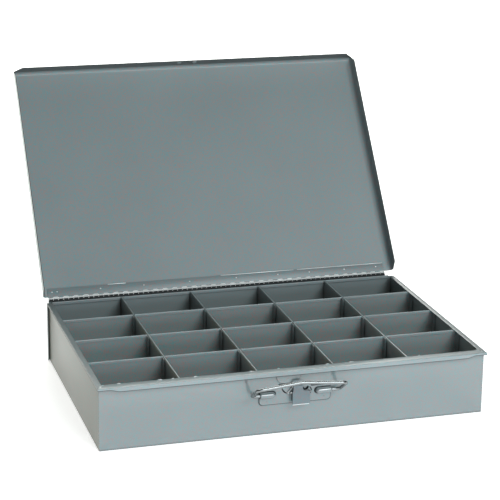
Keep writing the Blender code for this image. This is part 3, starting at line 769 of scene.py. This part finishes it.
def cut(obj, cutters):
    """Cuts shapes out of a piece and bakes the result into its mesh."""
    for shape in cutters:
        modifier = obj.modifiers.new("cut", "BOOLEAN")
        modifier.operation = "DIFFERENCE"
        modifier.solver = "EXACT"
        modifier.material_mode = "TRANSFER"
        modifier.object = shape
    graph = bpy.context.evaluated_depsgraph_get()
    mesh = bpy.data.meshes.new_from_object(obj.evaluated_get(graph))
    obj.modifiers.clear()
    obj.data = mesh
    for shape in cutters:
        bpy.data.objects.remove(shape)
    mesh.set_sharp_from_angle(angle=math.radians(38))


def ribbon(points, widths):
    """A band's outline in XZ along points, with a width at each, all in millimetres."""
    points = [Vector(p) for p in points]
    last = len(points) - 1
    left, right = [], []
    for i, (point, width) in enumerate(zip(points, widths)):
        along = (points[min(i + 1, last)] - points[max(i - 1, 0)]).normalized()
        side = Vector((-along.y, along.x)) * width / 2
        left.append(point + side)
        right.append(point - side)
    return [tuple(p * MM) for p in left + right[::-1]]


def plate_shade_margin(outline):
    """Painted shade: a thin dark margin round the back of the plate."""
    middle_z = (PLATE_LOW.z + PLATE_HIGH.z) / 2
    edge = [(x + math.copysign(0.6 * MM, x - LATCH_X), z + math.copysign(0.85 * MM, z - middle_z))
            for x, z in outline]
    bm = bmesh.new()
    prism_y(bm, edge, (PLATE_BACK, PLATE_BACK - 0.25 * MM))
    finish_piece("latch_plate_shade_margin", bm, PAINTED_SHADE, "case")


def slotted_plate(outline):
    """The plate, with a shallow slot under each loop and the grooves beside the flap, their walls in painted
    shade.
    """
    bm = bmesh.new()
    prism_y(bm, outline, (PLATE_BACK, PLATE_FRONT))
    obj = finish_piece("latch_back_plate", bm, PLATE_PAINT, "case", ["latch_plate"])
    cutters = []
    for x_open, x_round, side in LOOP_ENDS:
        slot = capsule(x_open - side * 2 * MM, x_round + side * 0.9 * MM, side, GRIP.z, LOOP_R + 0.75 * MM)
        cutters.append(cutter("slot", slot, (PLATE_FRONT + 0.5 * MM, PLATE_FRONT - 2 * MM)))
    for points, widths in GROOVES:
        cutters.append(cutter("groove", ribbon(points, widths), (PLATE_BACK - 0.25 * MM, PLATE_FRONT - MM)))
    cut(obj, cutters)
    edge_round(obj, 0.15 * MM, 50)


def plate_marks():
    """A painted highlight along the edge of a pressed ear beside the flap, and the plate's four spot welds.
    """
    bm = bmesh.new()
    tube(bm, [(x * MM, PLATE_FRONT - 0.5 * MM, z * MM) for x, z in EAR_EDGE], 0.6 * MM, 10)
    finish_piece("latch_ear_edge", bm, PALE_HIGHLIGHT_PAINT, "case", smooth_deg=80)
    bm = bmesh.new()
    for x, z in PLATE_WELDS:
        bead(bm, (x * MM, PLATE_FRONT, z * MM), (0.9 * MM, 0.25 * MM), 0.7 * MM, int(x * 3 + z))
    finish_piece("plate_spot_welds", bm, PLATE_PAINT, "case", smooth_deg=80)


def raised_loop(bm, x_open, x_round, side):
    """A half-round loop pressed out of the plate, open where the handle enters and domed at the other end."""
    turn = [math.radians(90 + 180 * i / LOOP_STEPS) for i in range(LOOP_STEPS + 1)]
    profile = [(LOOP_R, a) for a in turn] + [(BORE_R, a) for a in reversed(turn)]
    root = PLATE_FRONT + 0.3 * MM
    rings = []
    for share in (0.0, 0.02, 0.5, LOOP_STRAIGHT):
        mouth = {LOOP_R: LOOP_MOUTH if share == 0.0 else 1.0, BORE_R: 1.0}
        x = x_open + (x_round - x_open) * share
        rings.append([(x, root + r * math.cos(a) * mouth[r], GRIP.z + r * math.sin(a) * mouth[r])
                      for r, a in profile])
    start = x_open + (x_round - x_open) * LOOP_STRAIGHT
    for lean in (25, 50, 72, 88):
        c, s = math.cos(math.radians(lean)), math.sin(math.radians(lean))
        rings.append([(start + side * LOOP_R * s, root + r * c * math.cos(a), GRIP.z + r * c * math.sin(a))
                      for r, a in profile])
    reach = root - GRIP.y
    for ring in rings:
        for i, (x, y, z) in enumerate(ring):
            lift = reach * min(1.0, max(0.0, (root - y) / (0.35 * LOOP_R)))
            ring[i] = (x, y - lift, z)
    # The bore's faces take painted shade.
    loft(bm, rings, dark=range(LOOP_STEPS + 1, 2 * LOOP_STEPS + 1))
    bm.faces.ensure_lookup_table()
    bm.faces[-2].material_index = 1  # the cap at the open end, in painted shade like the bore


def plate_loops():
    """The two loops, and a painted highlight along each."""
    bm = bmesh.new()
    for x_open, x_round, side in LOOP_ENDS:
        raised_loop(bm, x_open, x_round, side)
    finish_piece("latch_loops", bm, [LOOP_PAINT, PAINTED_SHADE], "case", smooth_deg=60)
    bm = bmesh.new()
    for x_open, _, side in LOOP_ENDS:
        crest = [x_open + side * (1.2 + 1.5 * i) * MM for i in range(10)]
        tube(bm, [(x, GRIP.y - LOOP_R + 0.6 * MM, GRIP.z + 1.6 * MM) for x in crest], 0.6 * MM, 10)
    finish_piece("loop_crest_highlights", bm, WEAR_AND_GLINT_STEEL, "case", smooth_deg=80)


def latch_plate():
    outline = plate_outline()
    plate_shade_margin(outline)
    slotted_plate(outline)
    plate_marks()
    plate_loops()


# ---------------------------------------------------------------- handle and release lever

HANDLE_TILT, HANDLE_HALF, HANDLE_REACH, HANDLE_BEND = 34.0, 52.5 * MM, 31.0 * MM, 6.0 * MM
HANDLE_END = 27.0 * MM  # from the latch's middle to each end of the wire's centreline
KINK_BACK, KINK_UP = 3.2 * MM, 4.9 * MM
LEVER_X, NECK_X = 2.7 * MM, -1.2 * MM
LEVER_PIN = Vector((LEVER_X, -158.2 * MM, 50.0 * MM))
LEVER_FACE = -161.6 * MM
LEVER_HALF, NECK_HALF, LEVER_ROLL = 10.4 * MM, 5.5 * MM, 1.0 * MM
NECK_TOP, SHELF = 59.0 * MM, 58.8 * MM
EAR_FOOT, EAR_HEEL, EAR_R = 39.5 * MM, 41.0 * MM, 2.1 * MM


def handle_path():
    """Centreline of the wire: in one loop, out, across the kinked grip and back."""
    tilt = math.radians(HANDLE_TILT)
    out, up = Vector((0, -math.cos(tilt), math.sin(tilt))), Vector((0, math.sin(tilt), math.cos(tilt)))
    corner_x, corner_out = HANDLE_HALF - HANDLE_BEND, HANDLE_REACH - HANDLE_BEND
    quarter = [math.radians(a) for a in range(0, 91, 10)]
    right = [Vector((HANDLE_END, 0, 0)), Vector(((HANDLE_END + corner_x) / 2, 0, 0))]
    right += [Vector((corner_x + HANDLE_BEND * math.sin(a), 0, 0)) + out * HANDLE_BEND * (1 - math.cos(a))
              for a in quarter]
    right += [Vector((corner_x + HANDLE_BEND * math.cos(a), 0, 0))
              + out * (corner_out + HANDLE_BEND * math.sin(a)) for a in quarter]
    corner, kink = right[-1], out * (HANDLE_REACH - KINK_BACK) + up * KINK_UP
    grip = [corner.lerp(kink, i / 10) for i in range(1, 11)]
    grip[-1] = grip[-1].lerp(grip[-2], 0.15)
    right += grip
    left = [Vector((-p.x, p.y, p.z)) for p in reversed(right)]
    return [GRIP + p for p in right + left]


def carry_handle():
    bm = bmesh.new()
    tube(bm, handle_path(), 2.0 * MM, 18)
    finish_piece("wire_handle", bm, WIRE_BRIGHT, "handle", ["carry_handle"], smooth_deg=80)


def lever():
    """The release lever: a flap with a rolled lower edge and two ears, a neck and a hooked nose."""
    low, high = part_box("release_lever")
    front = LEVER_FACE
    shoulder, throat = LEVER_PIN.z + 1.5 * MM, LEVER_PIN.z + 4 * MM

    def edge(side):
        """One edge of the flap and neck, from the foot up."""
        flap, neck = LEVER_X + side * LEVER_HALF, NECK_X + side * NECK_HALF
        ease = [(neck + (flap - neck) * (1 - t) ** 2, shoulder + (throat - shoulder) * t)
                for t in (0.3, 0.6, 1.0)]
        return [(flap, low.z + LEVER_ROLL), (flap, shoulder), *ease, (neck, NECK_TOP)]

    bm = bmesh.new()
    prism_y(bm, edge(1) + edge(-1)[::-1], (front + MM, front))
    # The rolled lower edge takes a painted highlight.
    roll = arc((front + LEVER_ROLL, low.z + LEVER_ROLL), LEVER_ROLL, 0, 345, 23)
    prism_x(bm, roll, (LEVER_X - LEVER_HALF, LEVER_X + LEVER_HALF - MM), material=2)
    inside = front + 0.3 * MM
    nose = [(inside, SHELF - MM), (front + 5 * MM, SHELF - MM), (front + 5 * MM, high.z),
            (front + 4 * MM, high.z), (front + 4 * MM, SHELF), (inside, SHELF)]
    prism_x(bm, nose, (NECK_X - NECK_HALF * 0.998, NECK_X + NECK_HALF * 0.998))
    # The ears take painted shade.
    ear = [(inside, EAR_FOOT), (inside, LEVER_PIN.z + 1.4 * MM),
           *arc((LEVER_PIN.y, LEVER_PIN.z), EAR_R, 45, -20, 7), (LEVER_PIN.y + 1.6 * MM, EAR_HEEL)]
    for side in (-1, 1):
        xs = (LEVER_X + side * (LEVER_HALF - MM), LEVER_X + side * LEVER_HALF * 0.999)
        prism_x(bm, ear, xs, material=1)
    materials = [FLAP_SHADED_PAINT, PAINTED_SHADE, PALE_HIGHLIGHT_PAINT]
    obj = finish_piece("release_flap", bm, materials, "lever", ["release_lever"])
    edge_round(obj, 0.2 * MM, 50)


def lever_pin():
    low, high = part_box("lever_pin")
    radius = (high.z - low.z) / 2
    bm = bmesh.new()
    tube(bm, [(x, LEVER_PIN.y, LEVER_PIN.z) for x in (low.x + radius / 2, high.x - radius / 2)], radius)
    finish_piece("flap_pin", bm, SPRING_STEEL, BODY_OF["lever_pin"], ["lever_pin"])


def lever_spring():
    """A coil of wire round the flap's pin."""
    low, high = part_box("lever_spring")
    wire, turns, steps = 0.35 * MM, 7, 16
    coil, long = (high.z - low.z) / 2 - wire, high.x - low.x - 2 * wire
    path = []
    for i in range(turns * steps + 1):
        a = 2 * math.pi * i / steps
        x = low.x + wire + long * i / (turns * steps)
        path.append((x, LEVER_PIN.y + coil * math.cos(a), LEVER_PIN.z + coil * math.sin(a)))
    bm = bmesh.new()
    tube(bm, path, wire, 8)
    body = BODY_OF["lever_spring"]
    finish_piece("flap_spring", bm, SPRING_STEEL, body, ["lever_spring"], smooth_deg=80)


def lip_tab():
    """The tab under the front lip, its lower corners rounded."""
    low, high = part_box("lip_tab")
    r = 8.4 * MM
    outline = [(low.x, high.z), *arc((low.x + r, low.z + r), r, 180, 270, 8),
               *arc((high.x - r, low.z + r), r, 270, 360, 8), (high.x, high.z)]
    bm = bmesh.new()
    prism_y(bm, outline, (high.y, low.y))
    obj = finish_piece("lip_rest_tab", bm, PLATE_PAINT, "case", ["lip_tab"])
    edge_round(obj, 0.2 * MM, 50)


# ---------------------------------------------------------------- stage

CAMERA_PLACE = (-0.5992, -1.9666, 0.7926)
CAMERA_TURN = (73.176, -0.634, -16.441)  # degrees about X, Y and Z, from looking straight down
CAMERA_LENS = 129.9  # mm, on a sensor 36 mm wide
AIM = Vector((0, 0, 0.1))  # where the studio lights point


def camera():
    data = bpy.data.cameras.new("camera")
    data.lens, data.sensor_width = CAMERA_LENS, 36.0
    data.clip_start, data.clip_end = 0.05, 60.0
    obj = bpy.data.objects.new("camera", data)
    turn = Euler([math.radians(angle) for angle in CAMERA_TURN])
    obj.matrix_world = Matrix.LocRotScale(Vector(CAMERA_PLACE), turn, None)
    bpy.context.scene.collection.objects.link(obj)
    bpy.context.scene.camera = obj


def floor():
    bm = bmesh.new()
    bmesh.ops.create_grid(bm, x_segments=2, y_segments=2, size=14.0)
    mesh = bpy.data.meshes.new("floor")
    bm.to_mesh(mesh)
    bm.free()
    obj = bpy.data.objects.new("floor", mesh)
    obj.location.z = -0.02 * MM
    material, _, shader = surface("pale_floor")
    shader.inputs["Base Color"].default_value = (0.92, 0.92, 0.915, 1.0)
    shader.inputs["Roughness"].default_value = 0.9
    shader.inputs["Specular IOR Level"].default_value = 0.1
    shader.inputs["Emission Color"].default_value = (1.0, 1.0, 1.0, 1.0)
    shader.inputs["Emission Strength"].default_value = 0.6
    mesh.materials.append(material)
    bpy.context.scene.collection.objects.link(obj)


def softbox(name, azimuth, elevation, distance, size, power):
    """A studio light aimed at the case: degrees from the front and above the floor, and watts per channel."""
    data = bpy.data.lights.new(name, "AREA")
    data.shape = "RECTANGLE"
    data.size, data.size_y = size
    data.energy = max(power)
    data.color = [channel / max(power) for channel in power]
    obj = bpy.data.objects.new(name, data)
    a, e = math.radians(azimuth), math.radians(elevation)
    away = Vector((math.sin(a) * math.cos(e), -math.cos(a) * math.cos(e), math.sin(e)))
    obj.location = AIM + distance * away
    obj.rotation_euler = (-away).to_track_quat("-Z", "Y").to_euler()
    obj.visible_camera = False
    bpy.context.scene.collection.objects.link(obj)


def lights():
    softbox("low_front", 0, 4.2, 1.103, (1.3, 0.3), (4.0, 4.5, 5.0))
    softbox("front_right", 25, 40, 5.0, (3.0, 2.0), (125.0, 138.0, 140.0))
    softbox("front", 0, 36, 3.0, (3.0, 1.5), (10.0, 9.5, 9.0))
    softbox("back", 180, 35, 3.0, (2.6, 1.4), (75.0, 77.0, 74.0))
    softbox("low_back_left", 238, 4, 3.0, (2.6, 0.4), (11.0, 9.3, 5.0))
    softbox("back_right", 161, 17, 3.0, (2.0, 1.0), (4.2, 4.2, 4.2))


def world():
    """Dim surroundings, so that the softboxes and the floor do the lighting."""
    sky = bpy.data.worlds.new("studio")
    bpy.context.scene.world = sky
    sky.use_nodes = True
    background = sky.node_tree.nodes["Background"]
    background.inputs["Color"].default_value = (0.04, 0.042, 0.042, 1.0)


def main():
    slab("floor_panel", "case_floor", 0.2 * MM, PAINT_IN_LIT)
    front_wall()
    slab("end_panel_left", "left_wall", material=SIDE_WARM_LIT_PAINT)
    slab("end_panel_right", "right_wall")
    back_wall()
    front_rim()
    rim_corner_web()
    side_rims()
    weld_spots()
    for index in range(1, COLUMNS):
        long_divider(index)
    for column in range(1, COLUMNS + 1):
        for row in range(1, ROWS):
            cross_divider(column, row)
    lid_shell()
    lid_dimples()
    case_leaf()
    lid_leaf()
    leaf_marks()
    hinge_shade()
    hinge_pin()
    latch_plate()
    carry_handle()
    lever()
    lever_pin()
    lever_spring()
    lip_tab()
    camera()
    floor()
    world()
    lights()
    bpy.context.scene.view_settings.view_transform = "Standard"


main()
